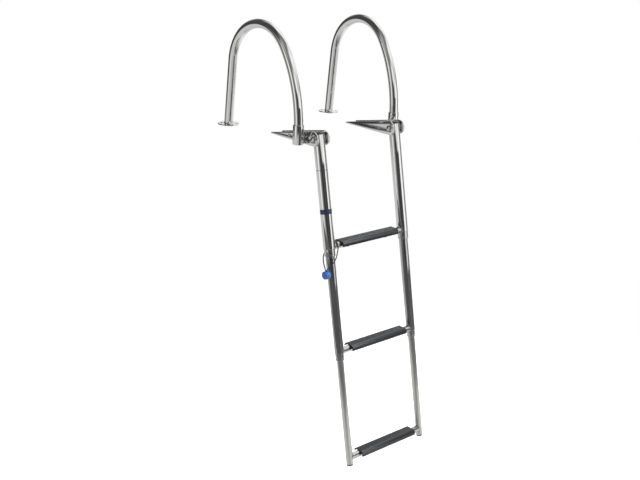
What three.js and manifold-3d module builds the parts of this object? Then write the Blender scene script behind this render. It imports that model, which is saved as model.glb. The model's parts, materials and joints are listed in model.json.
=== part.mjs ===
// Folding, telescoping boat boarding ladder with two handrail hoops.
//
// Millimetres. +X runs across the ladder, +Y points inboard over the deck and +Z up. The origin lies on
// the deck plane, straight below the pivot axis and midway between the stiles. The ladder is modelled
// deployed: it hangs outboard of the deck edge, rests against the bracket webs and is fully extended.

import * as THREE from "three";
import { mergeVertices } from "three/addons/utils/BufferGeometryUtils.js";
import Module from "manifold-3d";

const degrees = THREE.MathUtils.degToRad;

// Facets round a tube and round a small fastener, and the gap between touching pieces.
const TUBE_SIDES = 16;
const SMALL_SIDES = 8;
const GAP = 0.3;

// Ladder. Heights along the stile count from the pivot axis, so they are negative below it.
const STILE_SPACING = 274;
const LEAN = degrees(12);
const PIVOT_HEIGHT = 20;
const UPPER_TUBE = { radius: 16, bore: 14.5, top: 11, end: -295 };
const MIDDLE_TUBE = { radius: 12.5, bore: 11, top: -253, end: -585 };
const LOWER_TUBE = { radius: 9.5, bore: 8, top: -543, end: -905 };
const CAP = { dome: 6, spigot: 5.5 };
const FOOT = { depth: 4, edge: 2.5, spigot: 12 };
const COLLAR = { ring: 20, insert: 20, upperRadius: 15, middleRadius: 11.7 };
const BUSH = { length: 15, button: 2, buttonHole: 2.4 };

// Steps: a straight rung tube between the stiles under a moulded tread that is level when deployed.
const RUNG = { radius: 9.5, bore: 8, top: -290, middle: -580, bottom: -886 };
const TREAD = { length: 205, depth: 37, top: 12, skirt: -2.5, backSkirt: 3, wall: 3, corner: 8 };
const GROOVE = { count: 6, pitch: 3.4, width: 1.4, depth: 0.8 };
const SADDLE = { offset: 70, width: 10, foot: -1 };
const TREAD_SCREW = { radius: 1.9, hole: 2.3, head: 3.6, headHeight: 2, tip: 10.3, holeEnd: 10.6 };

// Hinge brackets: wedge-shaped channels that stand on the deck and hold the pivot bolts.
const BRACKET = { inner: 36.4, sheet: 2.5, tip: 180, tipHeight: 5, webEnd: 13 };
const WEB_HOLE = { radius: 3.2, places: [62, 128] };
const SIDE_SCREW = { radius: 2, hole: 2.4, head: 3.6, headHeight: 1.6, y: 100, z: 12 };
const BOLT = { radius: 4, hole: 4.4, head: 7.5, headHeight: 4.5, reach: 7 };
const NUT = { acrossFlats: 13, hexHeight: 6.5, dome: 6, boreDepth: 8 };
const WASHER = { radius: 9, thickness: 1.6 };
const CHEEK_FACE = BRACKET.inner / 2 + BRACKET.sheet + GAP;

// Handrail hoops: a bent tube from a sleeve beside each bracket to a round base flange inboard.
const HOOP = { radius: 12.5, bore: 11, sides: 12, steps: 34, splay: degrees(2.7) };
const HOOP_RISE = 42;
const OUTER_BEND = { radius: 350, angle: degrees(35.5) };
const CROWN_BEND = { radius: 120 };
const INNER_LEG_LEAN = degrees(5.3);
const SLEEVE = { radius: 15, bore: 13.2, height: 52, x: 173.2, y: 42 };
const SET_SCREW = { radius: 2.5, hole: 2.9, height: 26, proud: 0.6 };
const FLANGE = { radius: 31, thickness: 3, edge: 1.2, screws: 4, hole: 2.75, sink: 5.2, circle: 22 };

// Lanyard: a cord looped over the top rung and round the left stile, with a barrel toggle on it.
const CORD = { radius: 1.5, sides: 8, steps: 34 };
const TOGGLE = { radius: 11, length: 16.5, edge: 3, x: -21.75, y: -3, z: -363, hole: 3.9 };
const CORD_ROUTE = [
  [-21.75, -4.75, -359.5],
  [-21.75, -4.8, -355],
  [-21.5, -5.4, -350.5],
  [-19.2, -8.6, -345.5],
  [-13, -14.2, -339],
  [-4.5, -17.6, -331],
  [5, -18.2, -320],
  [13.5, -15.6, -306.5],
  [19.2, -13.2, -294],
  [20.8, -9.4, -283.4],
  [21, 0, -277.4],
  [20.8, 9.4, -283.4],
  [18.6, 14.4, -290.5],
  [12, 18.2, -296.5],
  [3, 19.2, -302.5],
  [-7, 17.6, -310.5],
  [-14.5, 12.6, -321.5],
  [-19.5, 6.3, -333.5],
  [-21.5, 0.5, -344],
  [-21.75, -1.1, -350.5],
  [-21.75, -1.25, -355],
  [-21.75, -1.25, -359.5],
];

const SIDES = [
  { side: "left", sign: -1 },
  { side: "right", sign: 1 },
];

const polishedSteel = { color: 0xc9cbcd, roughness: 0.12, metalness: 1 };
const satinSteel = { color: 0xb4b4b0, roughness: 0.3, metalness: 1 };
const blackPlastic = { color: 0x232528, roughness: 0.55, metalness: 0 };
const greyPlastic = { color: 0x8f9294, roughness: 0.4, metalness: 0 };
const treadPlastic = { color: 0x3a3d42, roughness: 0.5, metalness: 0 };
const bluePlastic = { color: 0x2f55b0, roughness: 0.35, metalness: 0 };
const blackCord = { color: 0x17181a, roughness: 0.9, metalness: 0 };

const wasm = await Module();
wasm.setup();

// A closed geometry as a solid that can be joined and cut.
function toSolid(geometry) {
  const bare = geometry.clone();
  bare.deleteAttribute("normal");
  bare.deleteAttribute("uv");
  const merged = mergeVertices(bare, 1e-3);
  return new wasm.Manifold(
    new wasm.Mesh({
      numProp: 3,
      vertProperties: merged.attributes.position.array,
      triVerts: new Uint32Array(merged.index.array),
    }),
  );
}

// A solid as a flat-shaded geometry.
function toGeometry(solid) {
  const { vertProperties, triVerts } = solid.getMesh();
  const indexed = new THREE.BufferGeometry();
  indexed.setAttribute("position", new THREE.BufferAttribute(vertProperties, 3));
  indexed.setIndex(new THREE.BufferAttribute(triVerts, 1));
  const geometry = indexed.toNonIndexed();
  geometry.computeVertexNormals();
  return geometry;
}

function cut(geometry, ...tools) {
  return toGeometry(tools.reduce((rest, tool) => rest.subtract(toSolid(tool)), toSolid(geometry)));
}

function join(geometry, ...others) {
  return toGeometry(others.reduce((sum, other) => sum.add(toSolid(other)), toSolid(geometry)));
}

// Turned shapes. A profile lists [radius, height] pairs, going up the outside first.
function turned(profile, sides = TUBE_SIDES) {
  const points = profile.map(([radius, height]) => new THREE.Vector2(radius, height));
  return new THREE.LatheGeometry(points, sides).rotateX(Math.PI / 2);
}

function turnedAlongX(profile, sides = TUBE_SIDES) {
  return turned(profile, sides).rotateY(Math.PI / 2);
}

function ring(radius, bore, low, high) {
  return [
    [radius, low],
    [radius, high],
    [bore, high],
    [bore, low],
    [radius, low],
  ];
}

function rod(radius, low, high) {
  return [
    [0, low],
    [radius, low],
    [radius, high],
    [0, high],
  ];
}

function block(low, high) {
  const [width, depth, height] = high.map((value, axis) => value - low[axis]);
  const [x, y, z] = high.map((value, axis) => (value + low[axis]) / 2);
  return new THREE.BoxGeometry(width, depth, height).translate(x, y, z);
}

// A section drawn in the Y-Z plane, extruded along X and centred on it.
function extrudedAlongX(shape, width, curveSegments) {
  const geometry = new THREE.ExtrudeGeometry(shape, {
    depth: width,
    bevelEnabled: false,
    curveSegments,
  });
  const axes = new THREE.Matrix4().makeBasis(
    new THREE.Vector3(0, 1, 0),
    new THREE.Vector3(0, 0, 1),
    new THREE.Vector3(1, 0, 0),
  );
  return geometry.applyMatrix4(axes).translate(-width / 2, 0, 0);
}

// A round section swept along a path. A bore makes it a tube.
function sweptRound(path, radius, bore, sides, steps) {
  const section = new THREE.Shape().absarc(0, 0, radius, 0, Math.PI * 2);
  if (bore > 0) {
    section.holes.push(new THREE.Path().absarc(0, 0, bore, 0, Math.PI * 2, true));
  }
  return new THREE.ExtrudeGeometry(section, {
    extrudePath: path,
    curveSegments: sides / 2,
    steps,
    bevelEnabled: false,
  });
}

function addPiece(group, name, geometry, finish) {
  const piece = new THREE.Mesh(geometry, new THREE.MeshStandardMaterial(finish));
  piece.name = name;
  group.add(piece);
}

// Centreline of a handrail hoop in its own Y-Z plane, from the foot of the sleeve up, over the crown
// and down to the base flange.
class HoopPath extends THREE.Curve {
  constructor() {
    super();
    const crownAngle = Math.PI - OUTER_BEND.angle - INNER_LEG_LEAN;
    this.outerLength = OUTER_BEND.radius * OUTER_BEND.angle;
    this.crownLength = CROWN_BEND.radius * crownAngle;
    this.legTop = this.bendPoint(CROWN_BEND.radius, this.crownCentre(), Math.PI - INNER_LEG_LEAN);
    this.legLength = this.legTop.z / Math.cos(INNER_LEG_LEAN);
    this.total = HOOP_RISE + this.outerLength + this.crownLength + this.legLength;
  }

  // A point on a bend that is centred inboard of it, where the tube has turned by an angle from upright.
  bendPoint(radius, centre, angle) {
    return new THREE.Vector3(0, centre.y - radius * Math.cos(angle), centre.z + radius * Math.sin(angle));
  }

  outerCentre() {
    return new THREE.Vector3(0, OUTER_BEND.radius, HOOP_RISE);
  }

  crownCentre() {
    const start = this.bendPoint(OUTER_BEND.radius, this.outerCentre(), OUTER_BEND.angle);
    const toCentre = new THREE.Vector3(0, Math.cos(OUTER_BEND.angle), -Math.sin(OUTER_BEND.angle));
    return start.addScaledVector(toCentre, CROWN_BEND.radius);
  }

  foot() {
    return this.getPoint(1);
  }

  getPoint(t) {
    let along = t * this.total;
    if (along <= HOOP_RISE) {
      return new THREE.Vector3(0, 0, along);
    }
    along -= HOOP_RISE;
    if (along <= this.outerLength) {
      return this.bendPoint(OUTER_BEND.radius, this.outerCentre(), along / OUTER_BEND.radius);
    }
    along -= this.outerLength;
    if (along <= this.crownLength) {
      const angle = OUTER_BEND.angle + along / CROWN_BEND.radius;
      return this.bendPoint(CROWN_BEND.radius, this.crownCentre(), angle);
    }
    along -= this.crownLength;
    const down = new THREE.Vector3(0, Math.sin(INNER_LEG_LEAN), -Math.cos(INNER_LEG_LEAN));
    return this.legTop.clone().addScaledVector(down, along);
  }
}

const hoopPath = new HoopPath();

// The hoop tube, cut level just above the flange and the deck.
function hoopGeometry() {
  const tube = sweptRound(hoopPath, HOOP.radius, HOOP.bore, HOOP.sides, HOOP.steps);
  const margin = 2 * HOOP.radius;
  const below = block(
    [-margin, -margin, -margin],
    [margin, hoopPath.foot().y + margin, FLANGE.thickness + GAP],
  );
  return cut(tube, below);
}

// The base flange: a disc with a chamfered edge and countersunk screw holes.
function flangeGeometry() {
  const disc = turned(
    [
      [0, 0],
      [FLANGE.radius, 0],
      [FLANGE.radius, FLANGE.thickness - FLANGE.edge],
      [FLANGE.radius - FLANGE.edge, FLANGE.thickness],
      [0, FLANGE.thickness],
    ],
    24,
  );
  const hole = turned(
    [
      [0, -1],
      [FLANGE.hole, -1],
      [FLANGE.hole, FLANGE.thickness - (FLANGE.sink - FLANGE.hole)],
      [FLANGE.sink, FLANGE.thickness],
      [FLANGE.sink, FLANGE.thickness + 1],
      [0, FLANGE.thickness + 1],
    ],
    SMALL_SIDES,
  ).translate(FLANGE.circle, 0, 0);
  const holes = [];
  for (let index = 0; index < FLANGE.screws; index += 1) {
    const turn = ((index + 0.5) / FLANGE.screws) * Math.PI * 2;
    holes.push(hole.clone().rotateZ(turn));
  }
  return cut(disc, ...holes);
}

// The sleeve that receives the outer leg of a hoop, with the threaded hole of its set screw.
function sleeveGeometry(sign) {
  const tube = turned(ring(SLEEVE.radius, SLEEVE.bore, GAP, SLEEVE.height));
  const hole = turnedAlongX(rod(SET_SCREW.hole, 0, 2 * SLEEVE.radius), SMALL_SIDES);
  return cut(tube, turnedOutboard(hole, sign).translate(0, 0, SET_SCREW.height));
}

// A shape that points along +X, turned half round about Z on the left so that it points away from the
// middle of the ladder on both sides.
function turnedOutboard(geometry, sign) {
  return sign > 0 ? geometry : geometry.rotateZ(Math.PI);
}

function setScrewGeometry(sign) {
  const screw = turnedAlongX(
    rod(SET_SCREW.radius, HOOP.radius + GAP, SLEEVE.radius + SET_SCREW.proud),
    SMALL_SIDES,
  );
  return turnedOutboard(screw, sign).translate(0, 0, SET_SCREW.height);
}

// The hinge bracket: both cheeks and the web on the deck are one folded sheet. The cheeks taper inboard
// to a low tip and end outboard in a round lug about the pivot.
function bracketGeometry(sign) {
  const lug = PIVOT_HEIGHT;
  const tipDrop = PIVOT_HEIGHT - BRACKET.tipHeight;
  const tipDistance = Math.hypot(BRACKET.tip, tipDrop);
  const tangent = Math.acos(lug / tipDistance) - Math.atan2(tipDrop, BRACKET.tip);
  const outline = new THREE.Shape();
  outline.moveTo(0, 0);
  outline.lineTo(BRACKET.tip, 0);
  outline.lineTo(BRACKET.tip, BRACKET.tipHeight);
  outline.absarc(0, PIVOT_HEIGHT, lug, tangent, Math.PI * 1.5);

  const half = BRACKET.inner / 2;
  const width = BRACKET.inner + 2 * BRACKET.sheet;
  const above = 3 * PIVOT_HEIGHT;
  const channel = block([-half, -above, BRACKET.sheet], [half, BRACKET.tip + 1, above]);
  const stileSlot = block([-half, -above, -1], [half, BRACKET.webEnd, BRACKET.sheet + 1]);
  const boltHole = turnedAlongX(rod(BOLT.hole, -width, width), TUBE_SIDES);
  const webHoles = WEB_HOLE.places.map((y) =>
    turned(rod(WEB_HOLE.radius, -1, BRACKET.sheet + 1), SMALL_SIDES).translate(0, y, 0),
  );
  const sideHole = turnedOutboard(turnedAlongX(rod(SIDE_SCREW.hole, 0, width), SMALL_SIDES), sign);
  return cut(
    extrudedAlongX(outline, width, 7),
    channel,
    stileSlot,
    boltHole.translate(0, 0, PIVOT_HEIGHT),
    ...webHoles,
    sideHole.translate(0, SIDE_SCREW.y, SIDE_SCREW.z),
  );
}

// The short screw in the outer cheek, its head outside.
function sideScrewGeometry(sign) {
  const crown = CHEEK_FACE + SIDE_SCREW.headHeight;
  const screw = turnedAlongX(
    [
      [0, BRACKET.inner / 2],
      [SIDE_SCREW.radius, BRACKET.inner / 2],
      [SIDE_SCREW.radius, CHEEK_FACE],
      [SIDE_SCREW.head, CHEEK_FACE],
      [SIDE_SCREW.head / 2, crown],
      [0, crown],
    ],
    SMALL_SIDES,
  );
  return turnedOutboard(screw, sign).translate(0, SIDE_SCREW.y, SIDE_SCREW.z);
}

function boltGeometry() {
  const crown = -CHEEK_FACE - BOLT.headHeight;
  return turnedAlongX([
    [0, crown],
    [BOLT.head * 0.6, crown + 0.6],
    [BOLT.head, crown + BOLT.headHeight * 0.6],
    [BOLT.head, -CHEEK_FACE],
    [BOLT.radius, -CHEEK_FACE],
    [BOLT.radius, CHEEK_FACE + BOLT.reach],
    [0, CHEEK_FACE + BOLT.reach],
  ]);
}

// The dome nut on the other end of the pivot bolt.
function nutGeometry() {
  const corner = NUT.acrossFlats / 2 / Math.cos(Math.PI / 6);
  const shoulder = CHEEK_FACE + NUT.hexHeight;
  const hexagon = turnedAlongX(rod(corner, CHEEK_FACE, shoulder), 6);
  const dome = turnedAlongX([
    [0, shoulder - 1],
    [NUT.dome, shoulder - 1],
    [NUT.dome, shoulder + NUT.dome * 0.3],
    [NUT.dome * 0.8, shoulder + NUT.dome * 0.75],
    [0, shoulder + NUT.dome],
  ]);
  const bore = turnedAlongX(rod(BOLT.hole, 0, CHEEK_FACE + NUT.boreDepth));
  return cut(join(hexagon, dome), bore);
}

function washerGeometry(sign) {
  const middle = sign * (UPPER_TUBE.radius + GAP + WASHER.thickness / 2);
  const half = WASHER.thickness / 2;
  return turnedAlongX(ring(WASHER.radius, BOLT.hole, middle - half, middle + half), 12);
}

function tubeGeometry(tube) {
  return turned(ring(tube.radius, tube.bore, tube.end, tube.top));
}

function upperStileGeometry() {
  const hole = turnedAlongX(rod(BOLT.hole, -2 * UPPER_TUBE.radius, 2 * UPPER_TUBE.radius));
  return cut(tubeGeometry(UPPER_TUBE), hole);
}

// The domed plug in the top of an upper stile. Its spigot ends above the pivot bolt.
function capGeometry() {
  const seat = UPPER_TUBE.top + GAP;
  const profile = [
    [0, seat - CAP.spigot],
    [UPPER_TUBE.bore - GAP, seat - CAP.spigot],
    [UPPER_TUBE.bore - GAP, seat],
  ];
  for (let step = 0; step < 4; step += 1) {
    const angle = (step / 4) * (Math.PI / 2);
    profile.push([UPPER_TUBE.radius * Math.cos(angle), seat + CAP.dome * Math.sin(angle)]);
  }
  profile.push([0, seat + CAP.dome]);
  return turned(profile);
}

// The collar at the lower end of a tube: a visible ring, and an insert that guides the inner tube.
function collarGeometry(outer, inner, radius) {
  const bore = inner.radius + GAP;
  const insert = outer.bore - GAP;
  const seat = outer.end - GAP;
  return turned([
    [radius, seat - COLLAR.ring],
    [radius, seat],
    [insert, seat],
    [insert, outer.end + COLLAR.insert],
    [bore, outer.end + COLLAR.insert],
    [bore, seat - COLLAR.ring],
    [radius, seat - COLLAR.ring],
  ]);
}

// The glide bush near the top of an inner tube, held by two buttons that snap into holes in the tube.
// It slides in the outer tube, and it stops on the collar's insert when the ladder is extended.
function bushLow(outer) {
  return outer.end + COLLAR.insert + GAP;
}

function bushGeometry(outer, inner) {
  const low = bushLow(outer);
  const sleeve = turned(ring(outer.bore - GAP, inner.radius + GAP, low, low + BUSH.length));
  const reach = (outer.bore - GAP + inner.radius + GAP) / 2;
  const centre = low + BUSH.length / 2;
  const button = turnedAlongX(rod(BUSH.button, inner.bore + GAP, reach), SMALL_SIDES);
  const opposite = button.clone().rotateZ(Math.PI);
  return join(sleeve, button.translate(0, 0, centre), opposite.translate(0, 0, centre));
}

function innerStileGeometry(outer, inner) {
  const hole = turnedAlongX(rod(BUSH.buttonHole, -2 * inner.radius, 2 * inner.radius), SMALL_SIDES);
  return cut(tubeGeometry(inner), hole.translate(0, 0, bushLow(outer) + BUSH.length / 2));
}

function footCapGeometry() {
  const seat = LOWER_TUBE.end - GAP;
  const base = LOWER_TUBE.end - FOOT.depth;
  return turned([
    [0, base],
    [LOWER_TUBE.radius - FOOT.edge, base],
    [LOWER_TUBE.radius, base + FOOT.edge],
    [LOWER_TUBE.radius, seat],
    [LOWER_TUBE.bore - GAP, seat],
    [LOWER_TUBE.bore - GAP, LOWER_TUBE.end + FOOT.spigot],
    [0, LOWER_TUBE.end + FOOT.spigot],
  ]);
}

// The rung of one step, drawn level: a tube coped to fit round both stiles, drilled for the tread screws.
function rungGeometry(stileRadius) {
  const half = STILE_SPACING / 2 - 1;
  const tube = turnedAlongX(ring(RUNG.radius, RUNG.bore, -half, half));
  const stile = turned(rod(stileRadius + GAP, -3 * RUNG.radius, 3 * RUNG.radius)).rotateX(-LEAN);
  const cutters = [];
  for (const { sign } of SIDES) {
    cutters.push(stile.clone().translate((sign * STILE_SPACING) / 2, 0, 0));
    const drill = turned(rod(TREAD_SCREW.hole, -2 * RUNG.radius, 2 * RUNG.radius), SMALL_SIDES);
    cutters.push(drill.translate(sign * SADDLE.offset, 0, 0));
  }
  return cut(tube, ...cutters);
}

// The tread's section: a ribbed top with rounded edges, a skirt down the front and a short lip behind.
function treadSection() {
  const half = TREAD.depth / 2;
  const inside = half - TREAD.wall;
  const bendY = half - TREAD.corner;
  const bendZ = TREAD.top - TREAD.corner;
  const section = new THREE.Shape();
  section.moveTo(-half, TREAD.skirt);
  section.lineTo(-half, bendZ);
  section.absarc(-bendY, bendZ, TREAD.corner, Math.PI, Math.PI / 2, true);
  for (let index = 0; index < GROOVE.count; index += 1) {
    const middle = (index - (GROOVE.count - 1) / 2) * GROOVE.pitch;
    section.lineTo(middle - GROOVE.width / 2, TREAD.top);
    section.lineTo(middle - GROOVE.width / 2, TREAD.top - GROOVE.depth);
    section.lineTo(middle + GROOVE.width / 2, TREAD.top - GROOVE.depth);
    section.lineTo(middle + GROOVE.width / 2, TREAD.top);
  }
  section.absarc(bendY, bendZ, TREAD.corner, Math.PI / 2, 0, true);
  section.lineTo(half, TREAD.backSkirt);
  section.lineTo(inside, TREAD.backSkirt);
  section.lineTo(inside, bendZ);
  section.absarc(bendY, bendZ, TREAD.corner - TREAD.wall, 0, Math.PI / 2, false);
  section.lineTo(-bendY, TREAD.top - TREAD.wall);
  section.absarc(-bendY, bendZ, TREAD.corner - TREAD.wall, Math.PI / 2, Math.PI, false);
  section.lineTo(-inside, TREAD.skirt);
  section.closePath();
  return section;
}

// The moulded tread, with two saddles inside that sit on the rung and take the screws.
function treadGeometry() {
  const shell = extrudedAlongX(treadSection(), TREAD.length, 3);
  const reachY = TREAD.depth / 2 - TREAD.wall / 2;
  const reachZ = TREAD.top - TREAD.wall / 2;
  const saddles = [];
  const drills = [];
  for (const { sign } of SIDES) {
    const middle = sign * SADDLE.offset;
    saddles.push(
      block(
        [middle - SADDLE.width / 2, -reachY, SADDLE.foot],
        [middle + SADDLE.width / 2, reachY, TREAD.top - TREAD.corner],
      ),
      block(
        [middle - SADDLE.width / 2, TREAD.corner - TREAD.depth / 2, 0],
        [middle + SADDLE.width / 2, TREAD.depth / 2 - TREAD.corner, reachZ],
      ),
    );
    const drill = turned(rod(TREAD_SCREW.hole, 0, TREAD_SCREW.holeEnd), SMALL_SIDES);
    drills.push(drill.translate(middle, 0, 0));
  }
  const rung = turnedAlongX(rod(RUNG.radius + GAP, -TREAD.length, TREAD.length));
  return cut(join(shell, ...saddles), rung, ...drills);
}

// A tread screw: its head is under the rung and its tip in the tread.
function treadScrewGeometry() {
  const seat = -RUNG.radius - GAP;
  const crown = seat - TREAD_SCREW.headHeight;
  return turned(
    [
      [0, crown],
      [TREAD_SCREW.head * 0.6, crown],
      [TREAD_SCREW.head, seat - TREAD_SCREW.headHeight / 2],
      [TREAD_SCREW.head, seat],
      [TREAD_SCREW.radius, seat],
      [TREAD_SCREW.radius, TREAD_SCREW.tip],
      [0, TREAD_SCREW.tip],
    ],
    SMALL_SIDES,
  );
}

// The barrel toggle lies across the ladder and swallows both ends of the cord from above.
function toggleGeometry() {
  const half = TOGGLE.length / 2;
  const barrel = turnedAlongX([
    [0, -half],
    [TOGGLE.radius - TOGGLE.edge, -half],
    [TOGGLE.radius, TOGGLE.edge - half],
    [TOGGLE.radius, half - TOGGLE.edge],
    [TOGGLE.radius - TOGGLE.edge, half],
    [0, half],
  ]);
  const hole = turned(rod(TOGGLE.hole, 0, 2 * TOGGLE.radius), 12);
  return cut(barrel, hole).translate(TOGGLE.x, TOGGLE.y, TOGGLE.z);
}

function cordGeometry() {
  const points = CORD_ROUTE.map(([x, y, z]) => new THREE.Vector3(x, y, z));
  const route = new THREE.CatmullRomCurve3(points);
  return sweptRound(route, CORD.radius, 0, CORD.sides, CORD.steps);
}

// One step: its rung, tread and screws, level when the ladder is deployed.
function addStep(ladder, name, height, stileRadius) {
  const step = new THREE.Group();
  step.position.z = height;
  step.rotation.x = LEAN;
  addPiece(step, `rung_${name}`, rungGeometry(stileRadius), satinSteel);
  addPiece(step, `tread_${name}`, treadGeometry(), treadPlastic);
  for (const { side, sign } of SIDES) {
    const screw = treadScrewGeometry().translate(sign * SADDLE.offset, 0, 0);
    addPiece(step, `tread_screw_${name}_${side}`, screw, satinSteel);
  }
  ladder.add(step);
}

const ladderAssembly = new THREE.Group();

// Brackets, pivots, sleeves and hoops, which stay on the deck.
for (const { side, sign } of SIDES) {
  const bracket = new THREE.Group();
  bracket.position.x = (sign * STILE_SPACING) / 2;
  addPiece(bracket, `hinge_bracket_${side}`, bracketGeometry(sign), polishedSteel);
  addPiece(bracket, `bracket_side_screw_${side}`, sideScrewGeometry(sign), satinSteel);
  ladderAssembly.add(bracket);

  const pivot = new THREE.Group();
  pivot.position.set((sign * STILE_SPACING) / 2, 0, PIVOT_HEIGHT);
  addPiece(pivot, `pivot_bolt_${side}`, boltGeometry(), satinSteel);
  addPiece(pivot, `pivot_nut_${side}`, nutGeometry(), satinSteel);
  addPiece(pivot, `pivot_washer_inner_${side}`, washerGeometry(-sign), satinSteel);
  addPiece(pivot, `pivot_washer_outer_${side}`, washerGeometry(sign), satinSteel);
  ladderAssembly.add(pivot);

  const sleeve = new THREE.Group();
  sleeve.position.set(sign * SLEEVE.x, SLEEVE.y, 0);
  addPiece(sleeve, `hoop_sleeve_${side}`, sleeveGeometry(sign), polishedSteel);
  addPiece(sleeve, `sleeve_set_screw_${side}`, setScrewGeometry(sign), satinSteel);
  ladderAssembly.add(sleeve);

  const hoop = new THREE.Group();
  hoop.position.copy(sleeve.position);
  hoop.rotation.z = -sign * HOOP.splay;
  addPiece(hoop, `handrail_hoop_${side}`, hoopGeometry(), polishedSteel);
  const flange = flangeGeometry().translate(0, hoopPath.foot().y, 0);
  addPiece(hoop, `base_flange_${side}`, flange, polishedSteel);
  ladderAssembly.add(hoop);
}

// The ladder, which swings about the pivot axis. Its inner tubes slide along the stiles.
const ladder = new THREE.Group();
ladder.position.z = PIVOT_HEIGHT;
ladder.rotation.x = -LEAN;
ladderAssembly.add(ladder);

for (const { side, sign } of SIDES) {
  const stile = new THREE.Group();
  stile.position.x = (sign * STILE_SPACING) / 2;
  const { upperRadius, middleRadius } = COLLAR;
  const upperCollar = collarGeometry(UPPER_TUBE, MIDDLE_TUBE, upperRadius);
  const middleCollar = collarGeometry(MIDDLE_TUBE, LOWER_TUBE, middleRadius);
  const middleBush = bushGeometry(UPPER_TUBE, MIDDLE_TUBE);
  const lowerBush = bushGeometry(MIDDLE_TUBE, LOWER_TUBE);
  addPiece(stile, `upper_stile_${side}`, upperStileGeometry(), polishedSteel);
  addPiece(stile, `stile_cap_${side}`, capGeometry(), blackPlastic);
  addPiece(stile, `upper_collar_${side}`, upperCollar, greyPlastic);
  addPiece(stile, `middle_stile_${side}`, innerStileGeometry(UPPER_TUBE, MIDDLE_TUBE), polishedSteel);
  addPiece(stile, `middle_bush_${side}`, middleBush, greyPlastic);
  addPiece(stile, `middle_collar_${side}`, middleCollar, greyPlastic);
  addPiece(stile, `lower_stile_${side}`, innerStileGeometry(MIDDLE_TUBE, LOWER_TUBE), polishedSteel);
  addPiece(stile, `lower_bush_${side}`, lowerBush, greyPlastic);
  addPiece(stile, `foot_cap_${side}`, footCapGeometry(), blackPlastic);
  ladder.add(stile);
}

addStep(ladder, "top", RUNG.top, UPPER_TUBE.radius);
addStep(ladder, "middle", RUNG.middle, MIDDLE_TUBE.radius);
addStep(ladder, "bottom", RUNG.bottom, LOWER_TUBE.radius);

const lanyard = new THREE.Group();
lanyard.position.x = -STILE_SPACING / 2;
addPiece(lanyard, "lanyard_cord", cordGeometry(), blackCord);
addPiece(lanyard, "toggle", toggleGeometry(), bluePlastic);
ladder.add(lanyard);

export default ladderAssembly;
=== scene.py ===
import json
import math

import bmesh
import bpy
from mathutils import Matrix, Vector

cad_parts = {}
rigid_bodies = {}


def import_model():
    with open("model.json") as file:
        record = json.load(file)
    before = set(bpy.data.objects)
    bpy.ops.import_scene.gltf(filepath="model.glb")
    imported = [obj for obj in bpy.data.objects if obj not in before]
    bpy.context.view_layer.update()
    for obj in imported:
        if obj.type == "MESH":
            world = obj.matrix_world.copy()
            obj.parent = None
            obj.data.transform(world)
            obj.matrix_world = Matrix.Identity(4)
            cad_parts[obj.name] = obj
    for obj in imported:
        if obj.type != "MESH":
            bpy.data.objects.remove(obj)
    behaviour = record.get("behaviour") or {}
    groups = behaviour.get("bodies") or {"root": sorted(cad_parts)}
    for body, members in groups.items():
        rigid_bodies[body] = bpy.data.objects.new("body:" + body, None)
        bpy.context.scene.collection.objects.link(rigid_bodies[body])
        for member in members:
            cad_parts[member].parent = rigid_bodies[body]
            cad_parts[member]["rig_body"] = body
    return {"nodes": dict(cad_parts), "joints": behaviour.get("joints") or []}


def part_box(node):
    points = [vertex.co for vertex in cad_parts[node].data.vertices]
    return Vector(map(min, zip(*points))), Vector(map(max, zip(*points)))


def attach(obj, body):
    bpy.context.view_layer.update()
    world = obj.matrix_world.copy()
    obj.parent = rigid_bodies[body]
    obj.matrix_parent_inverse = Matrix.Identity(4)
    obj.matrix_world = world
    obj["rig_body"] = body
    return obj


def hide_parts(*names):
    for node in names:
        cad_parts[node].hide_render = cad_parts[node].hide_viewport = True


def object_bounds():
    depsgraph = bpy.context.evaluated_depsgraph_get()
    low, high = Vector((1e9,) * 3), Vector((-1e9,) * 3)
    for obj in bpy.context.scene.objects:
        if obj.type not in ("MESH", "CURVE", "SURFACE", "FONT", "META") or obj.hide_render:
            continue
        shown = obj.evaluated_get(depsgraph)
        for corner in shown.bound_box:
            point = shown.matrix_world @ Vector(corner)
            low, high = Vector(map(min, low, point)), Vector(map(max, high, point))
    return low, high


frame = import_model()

# Folding boat boarding ladder: metres, +X across the ladder, +Y inboard over the deck, +Z up.
cad_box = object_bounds()

# Read from the frame: the pivot, the direction of the stiles and the places of the pieces.
JOINTS = {joint["name"]: joint for joint in frame["joints"]}
PIVOT = Vector(JOINTS["ladder_hinge"]["pos_m"])
STILE_AXIS = Vector(JOINTS["middle_slide"]["axis"]).normalized()
LEAN = math.atan2(STILE_AXIS.y, STILE_AXIS.z)
LADDER_FRAME = Matrix.Translation(PIVOT) @ Matrix.Rotation(-LEAN, 4, "X")
SIDES = (("left", -1), ("right", 1))
STEPS = ("top", "middle", "bottom")
SLOT_OF = {
    "handrail_hoop": "polished_steel",
    "base_flange": "polished_steel",
    "hoop_sleeve": "polished_steel",
    "hinge_bracket": "polished_steel",
    "upper_stile": "polished_steel",
    "middle_stile": "polished_steel",
    "lower_stile": "polished_steel",
    "sleeve_set_screw": "fastener_steel",
    "bracket_side_screw": "fastener_steel",
    "pivot": "fastener_steel",
    "tread_screw": "fastener_steel",
    "rung": "fastener_steel",
    "upper_collar": "collar",
    "middle_collar": "collar",
    "middle_bush": "bush",
    "lower_bush": "bush",
    "stile_cap": "cap",
    "foot_cap": "cap",
    "tread": "tread",
    "toggle": "toggle",
    "lanyard_cord": "cord",
}

# Smoothness of round shapes, the gap that the CAD keeps between touching pieces, and how far a
# cutting solid goes past the surface that it cuts.
TUBE_SIDES = 64
SMALL_SIDES = 40
DISC_SIDES = 96
SHARP_ANGLE = math.radians(34)
GAP = 0.0003
OVERCUT = 0.001

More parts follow.
